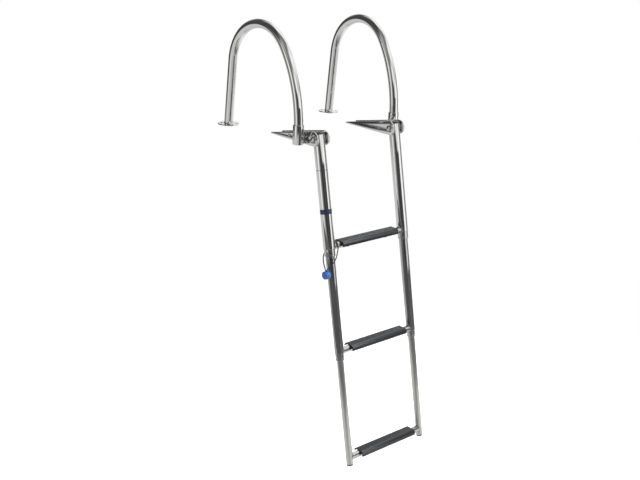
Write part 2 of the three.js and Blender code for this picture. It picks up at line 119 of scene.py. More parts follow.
# Handrail hoops. The bends are centred inboard of the tube.
HOOP_RADIUS = 0.0125
HOOP_BORE = 0.011
HOOP_RISE = 0.042
OUTER_BEND = (0.350, math.radians(35.5))
CROWN_RADIUS = 0.120
INNER_LEG_LEAN = math.radians(5.3)
SLEEVE_BORE = 0.0132
SLEEVE_EDGE = 0.0007
SLEEVE_HOLE = 0.0029
SET_SCREW_HEIGHT = 0.026
SET_SCREW_RADIUS = 0.0025
SET_SCREW_SOCKET = 0.0024
SET_SCREW_SOCKET_DEPTH = 0.0015

# Weld beads. A ripple is (share of the bead's radius, pitch). The sleeve has two upright beads, a
# flange has a round fillet, and a rung has one bead round each end.
SLEEVE_BEAD_LOW = 0.0012
SLEEVE_BEAD_TOP = 0.029
SLEEVE_BEAD_RADIUS = 0.0014
SLEEVE_BEAD_APART = 0.0058
SLEEVE_BEAD_OUT = 0.0009
SLEEVE_BEAD_STEPS = 60
SLEEVE_RIPPLE = (0.07, 0.0016)
FLANGE_WELD = 0.0026
WELD_SINK = 0.0005
RUNG_BEAD_RADIUS = 0.0013
RUNG_BEAD_STEPS = 96
RUNG_RIPPLE = (0.08, 0.0017)

# Base flange: a chamfered disc, countersunk for four screws, welded to the hoop.
FLANGE_EDGE = 0.0012
FLANGE_SCREWS = 4
FLANGE_CIRCLE = 0.022
FLANGE_HOLE = 0.00275
FLANGE_SINK = 0.0052

# Hinge bracket: folded sheet. A screw is (shank radius, head radius, head height).
SHEET = 0.0025
SHEET_BEND = 0.0032
BRACKET_TIP_HEIGHT = 0.005
BRACKET_WEB_END = 0.013
WEB_HOLES = (0.062, 0.128)
WEB_HOLE_RADIUS = 0.0032
SIDE_SCREW_PLACE = (0.100, 0.012)
SIDE_SCREW_HOLE = 0.0024
SIDE_SCREW = (0.002, 0.0036, 0.0016)
BOLT_RADIUS = 0.004
BOLT_HOLE = 0.0044
BOLT_RIM = 0.0012
BOLT_SOCKET = 0.005
BOLT_SOCKET_DEPTH = 0.0028
NUT_FLATS = 0.013
NUT_HEX_HEIGHT = 0.0065
NUT_DOME_RADIUS = 0.006
NUT_DOME_RIM = 0.0008
NUT_BORE_DEPTH = 0.008

# Stiles, rungs and treads. A collar's groove is (lower edge, upper edge) above the collar's foot.
UPPER_BORE = 0.0145
MIDDLE_BORE = 0.011
LOWER_BORE = 0.008
BUTTON_HOLE = 0.0024
CAP_RIM = 0.0004
COLLAR_GROOVE = (0.0040, 0.0064)
COLLAR_GROOVE_DEPTH = 0.0006
LABEL_BAND = (-0.200, -0.187)
LABEL_RULE = (-0.0838, -0.0826)
LABEL_LIFT = 0.00002
LABEL_THICKNESS = 0.00012
RUNG_RADIUS = 0.0095
RUNG_BORE = 0.008
TREAD_WALL = 0.003
TREAD_CORNER = 0.008
TREAD_EDGE = 0.0006
TREAD_SKIRT = -0.0025
TREAD_LIP = 0.003
GROOVES = 6
GROOVE_PITCH = 0.0034
GROOVE_WIDTH = 0.0014
GROOVE_DEPTH = 0.0008
GROOVE_RIM = 0.00025
GROOVE_FOOT = 0.0002
SADDLE_OFFSET = 0.070
SADDLE_WIDTH = 0.010
SCREW_HOLE = 0.0023
SCREW_HOLE_END = 0.0106
TREAD_SCREW_RADIUS = 0.0019

# Lanyard. The route is the CAD's, from the left stile and in the ladder's own frame.
CORD_DIAMETER = 0.003
CORD_STEP = 0.0004
BRAID_PITCH = 0.0095
BRAID_DEPTH = 0.00011
TOGGLE_RADIUS = 0.011
TOGGLE_PLACE = (-0.02175, -0.003, -0.363)
TOGGLE_HOLE = 0.0039
TOGGLE_EDGE = 0.003
CORD_ROUTE = (
    (-0.02175, -0.00475, -0.3595),
    (-0.02175, -0.0048, -0.355),
    (-0.0215, -0.0054, -0.3505),
    (-0.0192, -0.0086, -0.3455),
    (-0.013, -0.0142, -0.339),
    (-0.0045, -0.0176, -0.331),
    (0.005, -0.0182, -0.32),
    (0.0135, -0.0156, -0.3065),
    (0.0192, -0.0132, -0.294),
    (0.0208, -0.0094, -0.2834),
    (0.021, 0.0, -0.2774),
    (0.0208, 0.0094, -0.2834),
    (0.0186, 0.0144, -0.2905),
    (0.012, 0.0182, -0.2965),
    (0.003, 0.0192, -0.3025),
    (-0.007, 0.0176, -0.3105),
    (-0.0145, 0.0126, -0.3215),
    (-0.0195, 0.0063, -0.3335),
    (-0.0215, 0.0005, -0.344),
    (-0.02175, -0.0011, -0.3505),
    (-0.02175, -0.00125, -0.355),
    (-0.02175, -0.00125, -0.3595),
)

# Camera: where it stands, which way it is turned, and its lens in millimetres.
CAMERA_PLACE = (-1.7425, -1.8895, 0.5855)
CAMERA_TURN = (71.136, -2.265, -39.897)
CAMERA_LENS = 54.24
CAMERA_SENSOR = 36
CAMERA_REACH = 50

# The studio as the metal reflects it: strips of light and dark round the horizon, in five bands.
# Angles are degrees to the right of the front, which is the side that the ladder is looked at from.
STUDIO_FRONT = math.radians(-132.5)
STUDIO_PEAK = 2.0
STUDIO_LOW = (
    (-180, 0.66), (-60, 0.68), (-20, 0.66), (5, 0.48), (60, 0.60), (100, 0.85), (140, 0.95),
    (180, 0.66),
)
STUDIO_HORIZON = (
    (-180, 1.1), (-160, 0.40), (-145, 0.05), (-92, 0.06), (-78, 0.20), (-66, 0.75), (-56, 1.1),
    (-48, 1.1), (-34, 0.32), (-22, 0.20), (-12, 0.06), (0, 0.04), (12, 0.06), (24, 0.35),
    (34, 0.80), (48, 1.0), (64, 1.3), (78, 1.15), (90, 0.55), (102, 0.22), (116, 0.15), (128, 0.60),
    (140, 1.1), (180, 1.1),
)
STUDIO_HIGH = (
    (-180, 0.90), (-150, 0.30), (-130, 0.08), (-72, 0.06), (-60, 0.15), (-48, 0.50), (-35, 0.32),
    (-12, 0.12), (0, 0.35), (10, 0.75), (28, 1.3), (45, 0.85), (70, 0.60), (90, 0.80), (110, 1.1),
    (135, 0.80), (180, 0.90),
)
STUDIO_UPPER = (
    (-180, 0.60), (-150, 0.08), (-62, 0.06), (-48, 0.12), (-34, 0.55), (-24, 0.50), (-8, 0.28),
    (10, 0.14), (30, 0.45), (50, 0.95), (75, 1.2), (95, 1.1), (112, 0.75), (130, 1.2), (180, 0.90),
)
STUDIO_TOP = (
    (-180, 0.70), (-150, 0.55), (-130, 0.20), (-110, 0.06), (-45, 0.07), (-28, 0.14), (-10, 0.36),
    (12, 0.25), (32, 0.17), (55, 0.28), (72, 0.25), (92, 0.12), (106, 1.1), (180, 1.2),
)

# Soft lights: name, place, target, width and height, and watts.
SOFTBOXES = (
    ("softbox_key", (-1.6, -1.6, 2.6), (0, 0, -0.4), (3.0, 3.0), 95),
    ("softbox_fill", (2.2, 0.6, 2.0), (0, 0, -0.4), (3.0, 3.0), 60),
    ("softbox_side", (0.75, -0.85, 0.30), (0, 0, -0.2), (0.5, 0.5), 16),
)

# Dark cards: name, distance, degrees to the right of the front, lowest and highest edge, and glow.
FLAGS = (
    ("flag_low", 0.62, (-64, 41), (-0.78, -0.335), 0.10),
    ("flag_side", 0.62, (42, 128), (-0.78, -0.375), 0.16),
    ("flag_front", 1.2, (10, 53), (-0.60, 0.19), 0.036),
)
FLAG_THICKNESS = 0.002
FLAG_SHADE = 0.01
FLAG_STEPS = 24

# Sockets of the colour mix node, which share their names with those of its other kinds.
MIX_SHARE, MIX_FIRST, MIX_SECOND, MIX_RESULT = 0, 6, 7, 2

# The label's ink.
INK = (0.020, 0.025, 0.060)

# Floor: its drop below the ladder, where it starts and ends to fade, its shade and its own glow.
FLOOR_DROP = 0.06
FLOOR_FADE = (0.55, 1.5)
FLOOR_THICKNESS = 0.001
FLOOR_SHADE = 0.92
FLOOR_GLOW = 0.35


# ---- measuring the frame


def middle(node):
    """The middle of a CAD node's box."""
    low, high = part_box(node)
    return (low + high) / 2


def half_width(node):
    """Half of a CAD node's width across the ladder, which is the radius of an upright tube."""
    low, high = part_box(node)
    return (high.x - low.x) / 2


def along_stile(node):
    """The lowest and highest point of a CAD node, counted from the pivot along the stiles."""
    heights = [(v.co - PIVOT).dot(STILE_AXIS) for v in frame["nodes"][node].data.vertices]
    return min(heights), max(heights)


SLEEVE_PLACE = middle("hoop_sleeve_right")
SLEEVE_RADIUS = half_width("hoop_sleeve_right")
SLEEVE_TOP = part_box("hoop_sleeve_right")[1].z
FLANGE_PLACE = middle("base_flange_right")
SPLAY = math.atan2(FLANGE_PLACE.x - SLEEVE_PLACE.x, FLANGE_PLACE.y - SLEEVE_PLACE.y)
FLANGE_RADIUS = half_width("base_flange_right") / math.cos(SPLAY)
FLANGE_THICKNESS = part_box("base_flange_right")[1].z
BRACKET_X = middle("hinge_bracket_right").x
BRACKET_HALF_WIDTH = half_width("hinge_bracket_right")
BRACKET_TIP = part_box("hinge_bracket_right")[1].y
CHEEK_FACE = BRACKET_HALF_WIDTH + GAP
COLLAR_INSERTS = {"upper": UPPER_BORE - GAP, "middle": MIDDLE_BORE - GAP}
TREAD_HALF_LENGTH = half_width("tread_top")
TREAD_HALF_DEPTH = (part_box("tread_top")[1].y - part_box("tread_top")[0].y) / 2
TREAD_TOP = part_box("tread_top")[1].z - middle("rung_top").z


# ---- mesh tools


def rounded(points, closed=False, steps=5):
    """An outline with its corners rounded. A point is (across, up) or (across, up, radius)."""
    outline = []
    for index, (across, up, *fillet) in enumerate(points):
        corner = Vector((across, up))
        at_end = not closed and index in (0, len(points) - 1)
        if not fillet or at_end:
            outline.append(corner)
            continue
        back = (Vector(points[index - 1][:2]) - corner).normalized()
        ahead = (Vector(points[(index + 1) % len(points)][:2]) - corner).normalized()
        half = back.angle(ahead) / 2
        centre = corner + (back + ahead).normalized() * (fillet[0] / math.sin(half))
        start = corner + back * (fillet[0] / math.tan(half)) - centre
        turn = (math.pi - 2 * half) * (1 if back.cross(ahead) < 0 else -1)
        for step in range(steps + 1):
            outline.append(centre + Matrix.Rotation(turn * step / steps, 2) @ start)
    return outline


def arc(centre, radius, start, end, steps):
    """Points on an arc, both ends included. Angles are in radians."""
    turns = [start + (end - start) * step / steps for step in range(steps + 1)]
    return [(centre[0] + radius * math.cos(t), centre[1] + radius * math.sin(t)) for t in turns]


def skin(rings, closed=False):
    """A solid through rings of points. A ring of one point is a pole."""
    bm = bmesh.new()
    made = [[bm.verts.new(point) for point in ring] for ring in rings]
    sides = max(len(ring) for ring in made)
    pairs = list(zip(made, made[1:]))
    if closed:
        pairs.append((made[-1], made[0]))
    for low, high in pairs:
        for side in range(sides):
            after = (side + 1) % sides
            corners = [low[side % len(low)], low[after % len(low)]]
            corners += [high[after % len(high)], high[side % len(high)]]
            corners = list(dict.fromkeys(corners))
            if len(corners) > 2:
                bm.faces.new(corners)
    if not closed:
        for ring in (made[0], made[-1]):
            if len(ring) > 2:
                bm.faces.new(ring)
    bmesh.ops.recalc_face_normals(bm, faces=bm.faces)
    return bm


def lathe(profile, sides=TUBE_SIDES, closed=False):
    """A solid of revolution about Z. The profile is (radius, height) points, going up the outside."""
    rings = []
    for radius, height in profile:
        if radius < 1e-7:
            rings.append([(0, 0, height)])
            continue
        turns = [2 * math.pi * side / sides for side in range(sides)]
        rings.append([(radius * math.cos(t), radius * math.sin(t), height) for t in turns])
    return skin(rings, closed)


def pipe(radius, bore, low, high, edge=0.0004):
    """A tube along Z with rounded rims."""
    corners = ((radius, low, edge), (radius, high, edge), (bore, high, edge), (bore, low, edge))
    return lathe(rounded(corners, closed=True), closed=True)


def section_rings(points, radius, sides, normal=None, closed=False):
    """Round sections along points. radius is a function of the distance along and the angle round."""
    points = [Vector(point) for point in points]
    count = len(points)
    rings = []
    distance = 0.0
    for index, point in enumerate(points):
        before = points[index - 1] if closed or index else point
        after = points[(index + 1) % count] if closed or index + 1 < count else point
        tangent = (after - before).normalized()
        normal = Vector(normal) if normal else tangent.orthogonal()
        normal = (normal - tangent * normal.dot(tangent)).normalized()
        across = tangent.cross(normal)
        ring = []
        for side in range(sides):
            angle = 2 * math.pi * side / sides
            out = normal * math.cos(angle) + across * math.sin(angle)
            ring.append(point + out * radius(distance, angle))
        rings.append(ring)
        distance += (after - point).length
    return rings


def prism(outline, low, high):
    """An outline in the X-Y plane, extruded along Z."""
    return skin([[(p[0], p[1], low) for p in outline], [(p[0], p[1], high) for p in outline]])


def along_x(bm):
    """Turns a shape built in X-Y and up Z so that its outline lies in Y-Z and it runs along X."""
    bm.transform(Matrix(((0, 0, 1, 0), (1, 0, 0, 0), (0, 1, 0, 0), (0, 0, 0, 1))))
    return bm


def along_y(bm):
    """Turns a shape built in X-Y and up Z so that its outline lies in X-Z and it runs along Y."""
    bm.transform(Matrix(((1, 0, 0, 0), (0, 0, 1, 0), (0, 1, 0, 0), (0, 0, 0, 1))))
    bmesh.ops.reverse_faces(bm, faces=bm.faces)
    return bm


def rod(radius, low, high):
    return lathe([(0, low), (radius, low), (radius, high), (0, high)], SMALL_SIDES)


def dome(radius, base, rise, steps=10):
    """The profile of a dome, from its rim to its pole."""
    turns = [math.pi / 2 * step / steps for step in range(steps)]
    return [*((radius * math.cos(t), base + rise * math.sin(t)) for t in turns), (0, base + rise)]


def box(low, high):
    outline = ((low[0], low[1]), (high[0], low[1]), (high[0], high[1]), (low[0], high[1]))
    return prism(outline, low[2], high[2])


def moved(bm, x=0.0, y=0.0, z=0.0):
    copy = bm.copy()
    bmesh.ops.translate(copy, vec=(x, y, z), verts=copy.verts)
    return copy


def turned(bm, angle, axis):
    copy = bm.copy()
    copy.transform(Matrix.Rotation(angle, 4, axis))
    return copy


def mirrored(bm):
    copy = bm.copy()
    bmesh.ops.scale(copy, vec=(-1, 1, 1), verts=copy.verts)
    bmesh.ops.reverse_faces(copy, faces=copy.faces)
    return copy


def combine(operation, bm, *others):
    """A solid joined with, cut by or kept inside other solids."""
    for other in others:
        pair = []
        for solid in (bm, other):
            mesh = bpy.data.meshes.new("solid")
            solid.to_mesh(mesh)
            pair.append(bpy.data.objects.new("solid", mesh))
            bpy.context.scene.collection.objects.link(pair[-1])
        modifier = pair[0].modifiers.new("combine", "BOOLEAN")
        modifier.object = pair[1]
        modifier.operation = operation
        modifier.solver = "EXACT"
        result = pair[0].evaluated_get(bpy.context.evaluated_depsgraph_get())
        bm = bmesh.new()
        bm.from_mesh(result.to_mesh())
        for solid in pair:
            mesh = solid.data
            bpy.data.objects.remove(solid)
            bpy.data.meshes.remove(mesh)
    bmesh.ops.remove_doubles(bm, verts=bm.verts, dist=2e-6)
    return bm


def cut(bm, *others):
    return combine("DIFFERENCE", bm, *others)


def join(bm, *others):
    return combine("UNION", bm, *others)


def together(*solids):
    """Several solids as one mesh, each still whole."""
    whole = bmesh.new()
    for solid in solids:
        mesh = bpy.data.meshes.new("solid")
        solid.to_mesh(mesh)
        whole.from_mesh(mesh)
        bpy.data.meshes.remove(mesh)
    return whole


def soften(bm, width, steps=2):
    """Rounds every sharp edge."""
    edges = [e for e in bm.edges if e.is_manifold and e.calc_face_angle(0) > SHARP_ANGLE]
    bmesh.ops.bevel(
        bm,
        geom=edges,
        offset=width,
        segments=steps,
        profile=0.5,
        affect="EDGES",
        clamp_overlap=True,
    )
    return bm


# ---- pieces on the frame


def slot_of(node):
    prefixes = [prefix for prefix in SLOT_OF if node.startswith(prefix)]
    return SLOT_OF[max(prefixes, key=len)]


def add_mesh(name, bm, material):
    """An object from a bmesh, smooth except across sharp edges."""
    for face in bm.faces:
        face.smooth = True
    for edge in bm.edges:
        edge.smooth = edge.is_manifold and edge.calc_face_angle(0) < SHARP_ANGLE
    mesh = bpy.data.meshes.new(name)
    bm.to_mesh(mesh)
    mesh.materials.append(material)
    piece = bpy.data.objects.new(name, mesh)
    bpy.context.scene.collection.objects.link(piece)
    return piece


def show(node, bm, place=Matrix.Identity(4), finish=None):
    """A piece that stands for a CAD node and rides on the node's body, in its slot's finish or another."""
    copy = bm.copy()
    copy.transform(place)
    slot = slot_of(node)
    piece = add_mesh(f"{node}_visual", copy, finishes[finish or slot])
    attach(piece, frame["nodes"][node]["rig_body"])
    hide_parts(node)
    return piece


# ---- camera and studio


def add_camera():
    data = bpy.data.cameras.new("camera")
    data.lens = CAMERA_LENS
    data.sensor_width = CAMERA_SENSOR
    data.clip_end = CAMERA_REACH
    camera = bpy.data.objects.new("camera", data)
    camera.location = CAMERA_PLACE
    camera.rotation_euler = [math.radians(angle) for angle in CAMERA_TURN]
    bpy.context.scene.collection.objects.link(camera)
    bpy.context.scene.camera = camera


def feed(tree, node, inputs):
    """Sets a node's inputs, each to a number, a colour or another node's output."""
    for name, value in inputs.items():
        if isinstance(value, bpy.types.NodeSocket):
            tree.links.new(value, node.inputs[name])
        else:
            node.inputs[name].default_value = value


def shader_node(tree, kind, inputs=None, **settings):
    made = tree.nodes.new(kind)
    for name, value in settings.items():
        setattr(made, name, value)
    feed(tree, made, inputs or {})
    return made


def grey(value):
    return (value, value, value, 1)


def ramp(tree, factor, stops):
    """A colour ramp through (position, grey or colour) stops."""
    made = shader_node(tree, "ShaderNodeValToRGB", {"Fac": factor})
    elements = made.color_ramp.elements
    while len(elements) < len(stops):
        elements.new(0.5)
    for element, (position, colour) in zip(elements, stops):
        element.position = position
        element.color = grey(colour) if isinstance(colour, (int, float)) else (*colour, 1)
    return made.outputs["Color"]


def math_node(tree, operation, *values):
    inputs = dict(enumerate(values))
    return shader_node(tree, "ShaderNodeMath", inputs, operation=operation).outputs[0]


def mix_values(tree, first, second, share):
    """first where share is 0, second where it is 1."""
    change = math_node(tree, "SUBTRACT", second, first)
    return math_node(tree, "MULTIPLY_ADD", change, share, first)


def smooth_step(tree, value, low, high):
    inputs = {"Value": value, "From Min": low, "From Max": high}
    made = shader_node(tree, "ShaderNodeMapRange", inputs, interpolation_type="SMOOTHSTEP")
    return made.outputs[0]


def degrees_ramp(tree, turn, stops):
    """A ramp round the horizon. Stops are (degrees to the right of the front, brightness)."""
    return ramp(tree, turn, [(0.5 + angle / 360, value / STUDIO_PEAK) for angle, value in stops])


def add_studio():
    world = bpy.data.worlds.new("studio")
    bpy.context.scene.world = world
    world.use_nodes = True
    tree = world.node_tree
    tree.nodes.clear()
    coordinates = shader_node(tree, "ShaderNodeTexCoord").outputs["Generated"]
    to_front = {"Vector": coordinates, "Angle": -STUDIO_FRONT}
    direction = shader_node(tree, "ShaderNodeVectorRotate", to_front, rotation_type="Z_AXIS")
    across = shader_node(tree, "ShaderNodeSeparateXYZ", {"Vector": direction.outputs[0]}).outputs
    angle = math_node(tree, "ARCTAN2", across["Y"], across["X"])
    turn = math_node(tree, "MULTIPLY_ADD", angle, 0.5 / math.pi, 0.5)
    whole = degrees_ramp(tree, turn, STUDIO_LOW)
    for stops, start, end in (
        (STUDIO_HORIZON, -0.31, -0.13),
        (STUDIO_HIGH, 0.19, 0.32),
        (STUDIO_UPPER, 0.42, 0.58),
        (STUDIO_TOP, 0.68, 0.80),
    ):
        share = smooth_step(tree, across["Z"], start, end)
        whole = mix_values(tree, whole, degrees_ramp(tree, turn, stops), share)
    reflected = shader_node(tree, "ShaderNodeBackground", {"Color": whole, "Strength": STUDIO_PEAK})
    backdrop = shader_node(tree, "ShaderNodeBackground", {"Color": grey(1.0), "Strength": 1.0})
    seen = shader_node(tree, "ShaderNodeLightPath").outputs["Is Camera Ray"]
    shaders = {0: seen, 1: reflected.outputs[0], 2: backdrop.outputs[0]}
    chosen = shader_node(tree, "ShaderNodeMixShader", shaders)
    shader_node(tree, "ShaderNodeOutputWorld", {"Surface": chosen.outputs[0]})


def add_softbox(name, place, target, size, energy):
    data = bpy.data.lights.new(name, "AREA")
    data.shape = "RECTANGLE"
    data.size, data.size_y = size
    data.energy = energy
    light = bpy.data.objects.new(name, data)
    light.location = place
    light.rotation_euler = (Vector(place) - Vector(target)).to_track_quat("Z", "Y").to_euler()
    light.visible_glossy = False
    bpy.context.scene.collection.objects.link(light)


def add_flag(name, distance, turns, heights, glow):
    """A dark curved card round the ladder, which shows only in reflections."""
    material, tree, shader = new_material(f"{name}_cloth")
    cloth = {"Base Color": grey(FLAG_SHADE), "Emission Color": grey(1.0), "Emission Strength": glow}
    feed(tree, shader, cloth)
    start, end = (STUDIO_FRONT + math.radians(turn) for turn in turns)
    face = arc((0, 0), distance, start, end, FLAG_STEPS)
    back = arc((0, 0), distance + FLAG_THICKNESS, start, end, FLAG_STEPS)
    flag = add_mesh(name, prism(face + back[::-1], *heights), material)
    flag.visible_camera = False
    flag.visible_diffuse = False
    flag.visible_shadow = False
    flag.visible_transmission = False


def add_floor():
    """A pale floor under the ladder that fades away at its rim."""
    low, high = cad_box
    material, tree, shader = new_material("floor_paper")
    paper = {"Base Color": grey(FLOOR_SHADE), "Roughness": 0.8}
    feed(tree, shader, {**paper, "Emission Color": grey(1.0), "Emission Strength": FLOOR_GLOW})
    place = shader_node(tree, "ShaderNodeTexCoord").outputs["Object"]
    reach = shader_node(tree, "ShaderNodeVectorMath", {0: place}, operation="LENGTH")
    fade = smooth_step(tree, reach.outputs["Value"], FLOOR_FADE[0], FLOOR_FADE[1])
    clear = shader_node(tree, "ShaderNodeBsdfTransparent")
    shaders = {0: fade, 1: shader.outputs[0], 2: clear.outputs[0]}
    faded = shader_node(tree, "ShaderNodeMixShader", shaders)
    tree.links.new(faded.outputs[0], tree.nodes["Material Output"].inputs["Surface"])
    disc = lathe([(0, 0), (FLOOR_FADE[1], 0), (0, -FLOOR_THICKNESS)], DISC_SIDES)
    floor = add_mesh("floor", disc, material)
    floor.location = ((low.x + high.x) / 2, (low.y + high.y) / 2, low.z - FLOOR_DROP)
    floor.visible_glossy = False


# ---- finishes


def new_material(name):
    material = bpy.data.materials.new(name)
    material.use_nodes = True
    return material, material.node_tree, material.node_tree.nodes["Principled BSDF"]


def surface_place(tree):
    """The place on the object in metres, turned so that Z runs along the stiles."""
    place = shader_node(tree, "ShaderNodeTexCoord").outputs["Object"]
    turn = {"Vector": place, "Angle": LEAN}
    return shader_node(tree, "ShaderNodeVectorRotate", turn, rotation_type="X_AXIS").outputs[0]


def stretched(tree, place, scale):
    made = shader_node(tree, "ShaderNodeMapping", {"Vector": place, "Scale": scale})
    return made.outputs[0]


def noise(tree, place, scale, detail=2.0, roughness=0.5, distortion=0.0):
    inputs = {"Vector": place, "Scale": scale, "Detail": detail, "Roughness": roughness}
    made = shader_node(tree, "ShaderNodeTexNoise", {**inputs, "Distortion": distortion})
    return made.outputs["Fac"]


def bump(tree, height, distance, strength=1.0, under=None):
    inputs = {"Height": height, "Distance": distance, "Strength": strength}
    if under:
        inputs["Normal"] = under
    return shader_node(tree, "ShaderNodeBump", inputs).outputs[0]


def edge_share(tree, low, high):
    """0 on flats and 1 on outer edges."""
    point = shader_node(tree, "ShaderNodeNewGeometry").outputs["Pointiness"]
    return smooth_step(tree, point, low, high)


def steel(name, colour, gloss, line_depth, wave=0.0006):
    """Stainless steel: polishing lines along the tube, stray scratches and smudges."""
    material, tree, shader = new_material(name)
    place = surface_place(tree)
    smudge = noise(tree, place, scale=26, detail=4, roughness=0.6)
    along = stretched(tree, place, (900, 900, 14))
    lines = noise(tree, along, scale=1, detail=3, roughness=0.6)
    across = stretched(tree, place, (60, 1600, 60))
    scratch = noise(tree, across, scale=1, detail=2, distortion=0.6)
    scratched = smooth_step(tree, scratch, 0.66, 0.74)
    sway = noise(tree, place, scale=9, detail=1)
    dull = ramp(tree, smudge, [(0.35, gloss[0]), (0.72, gloss[1])])
    rough = math_node(tree, "MULTIPLY_ADD", scratched, gloss[1] - gloss[0], dull)
    tint = ramp(tree, smudge, [(0.3, [0.94 * c for c in colour]), (0.6, colour)])
    wavy = bump(tree, sway, wave, 0.5)
    lined = bump(tree, lines, line_depth, 1.0, wavy)
    marked = bump(tree, scratched, line_depth, 0.5, lined)
    feed(tree, shader, {"Metallic": 1.0, "Base Color": tint, "Roughness": rough, "Normal": marked})
    return material


def moulded(name, colour, worn, gloss, grain):
    """Moulded plastic: a fine grain, slightly uneven colour and paler worn edges."""
    material, tree, shader = new_material(name)
    place = surface_place(tree)
    cloud = noise(tree, place, scale=60, detail=4, roughness=0.6)
    speck = noise(tree, place, scale=1500, detail=2, roughness=0.6)
    cells = {"Vector": place, "Scale": grain}
    pebble = shader_node(tree, "ShaderNodeTexVoronoi", cells, feature="SMOOTH_F1").outputs["Distance"]
    body = ramp(tree, cloud, [(0.3, [0.82 * c for c in colour]), (0.7, colour)])
    rubbed = smooth_step(tree, speck, 0.3, 0.6)
    wear = math_node(tree, "MULTIPLY", edge_share(tree, 0.51, 0.60), rubbed)
    mixed = {MIX_SHARE: wear, MIX_FIRST: body, MIX_SECOND: (*worn, 1)}
    coloured = shader_node(tree, "ShaderNodeMix", mixed, data_type="RGBA").outputs[MIX_RESULT]
    rough = ramp(tree, speck, [(0.3, gloss[0]), (0.7, gloss[1])])
    grainy = bump(tree, pebble, 0.00012, 0.5)
    speckled = bump(tree, speck, 0.00005, 0.4, grainy)
    feed(tree, shader, {"Base Color": coloured, "Roughness": rough, "Normal": speckled})
    return material


def braided(name):
    """Polyester braid: fibres across the strands, with a soft sheen."""
    material, tree, shader = new_material(name)
    place = surface_place(tree)
    fibre = noise(tree, stretched(tree, place, (2500, 2500, 700)), scale=1, detail=2)
    colour = ramp(tree, fibre, [(0.3, (0.004, 0.004, 0.005)), (0.75, (0.03, 0.031, 0.034))])
    feed(tree, shader, {"Base Color": colour, "Roughness": 0.75, "Sheen Weight": 0.3})
    feed(tree, shader, {"Normal": bump(tree, fibre, 0.00008, 0.8)})
    return material


def printed(name, colour):
    """Printed film with a slightly mottled ink."""
    material, tree, shader = new_material(name)
    ink = noise(tree, surface_place(tree), scale=800, detail=3)
    tint = ramp(tree, ink, [(0.3, [0.8 * c for c in colour]), (0.7, colour)])
    rough = ramp(tree, ink, [(0.3, 0.28), (0.7, 0.4)])
    feed(tree, shader, {"Base Color": tint, "Roughness": rough, "Normal": bump(tree, ink, 0.00002, 0.4)})
    return material


# ---- deck fittings


def hoop_path():
    """Centreline of a handrail hoop from its sleeve over the crown to the deck, in Y-Z."""
    bend_radius, bend_angle = OUTER_BEND
    points = [(0, 0), (0, HOOP_RISE / 2)]
    points += arc((bend_radius, HOOP_RISE), bend_radius, math.pi, math.pi - bend_angle, 28)
    end_y, end_z = points[-1]
    towards = (math.cos(bend_angle), -math.sin(bend_angle))
    centre = (end_y + CROWN_RADIUS * towards[0], end_z + CROWN_RADIUS * towards[1])
    points += arc(centre, CROWN_RADIUS, math.pi - bend_angle, INNER_LEG_LEAN, 64)[1:]
    leg_y, leg_z = points[-1]
    for step in range(1, 9):
        drop = leg_z * step / 8
        points.append((leg_y + drop * math.tan(INNER_LEG_LEAN), leg_z - drop))
    return [(0, y, z) for y, z in points]


def level_off(ring, tangent, height):
    """Runs each point of a ring along the tube to a level plane."""
    return [point + tangent * ((height - point.z) / tangent.z) for point in ring]


def hoop_tube():
    path = hoop_path()
    ending = (Vector(path[-1]) - Vector(path[-2])).normalized()
    walls = []
    for radius in (HOOP_RADIUS, HOOP_BORE):
        rings = section_rings(path, lambda distance, angle: radius, TUBE_SIDES, (1, 0, 0))
        rings[0] = [point + Vector((0, 0, GAP)) for point in rings[0]]
        rings[-1] = level_off(rings[-1], ending, FLANGE_THICKNESS + GAP)
        walls.append(rings)
    return skin(walls[0] + walls[1][::-1], closed=True)


def flange_disc():
    """The flange with its countersunk holes, and the weld fillet round the foot of the hoop."""
    top = FLANGE_THICKNESS
    corners = (
        (0, 0),
        (FLANGE_RADIUS, 0, 0.0002),
        (FLANGE_RADIUS, top - FLANGE_EDGE, 0.0006),
        (FLANGE_RADIUS - FLANGE_EDGE, top, 0.0006),
        (0, top),
    )
    sink = (
        (0, -OVERCUT),
        (FLANGE_HOLE, -OVERCUT),
        (FLANGE_HOLE, top - (FLANGE_SINK - FLANGE_HOLE)),
        (FLANGE_SINK, top),
        (FLANGE_SINK, top + OVERCUT),
        (0, top + OVERCUT),
    )
    hole = moved(lathe(sink, SMALL_SIDES), x=FLANGE_CIRCLE)
    turns = [(index + 0.5) / FLANGE_SCREWS * 2 * math.pi for index in range(FLANGE_SCREWS)]
    disc = cut(lathe(rounded(corners), DISC_SIDES), *[turned(hole, turn, "Z") for turn in turns])
    outside = HOOP_RADIUS + FLANGE_WELD
    inside = HOOP_RADIUS - WELD_SINK
    low = top - WELD_SINK
    high = top + FLANGE_WELD
    fillet = arc((outside, high), FLANGE_WELD, -math.pi / 2, -math.pi, 6)
    bead = [(outside, low), *fillet, (inside, high), (inside, low)]
    return together(disc, lathe(bead, closed=True))


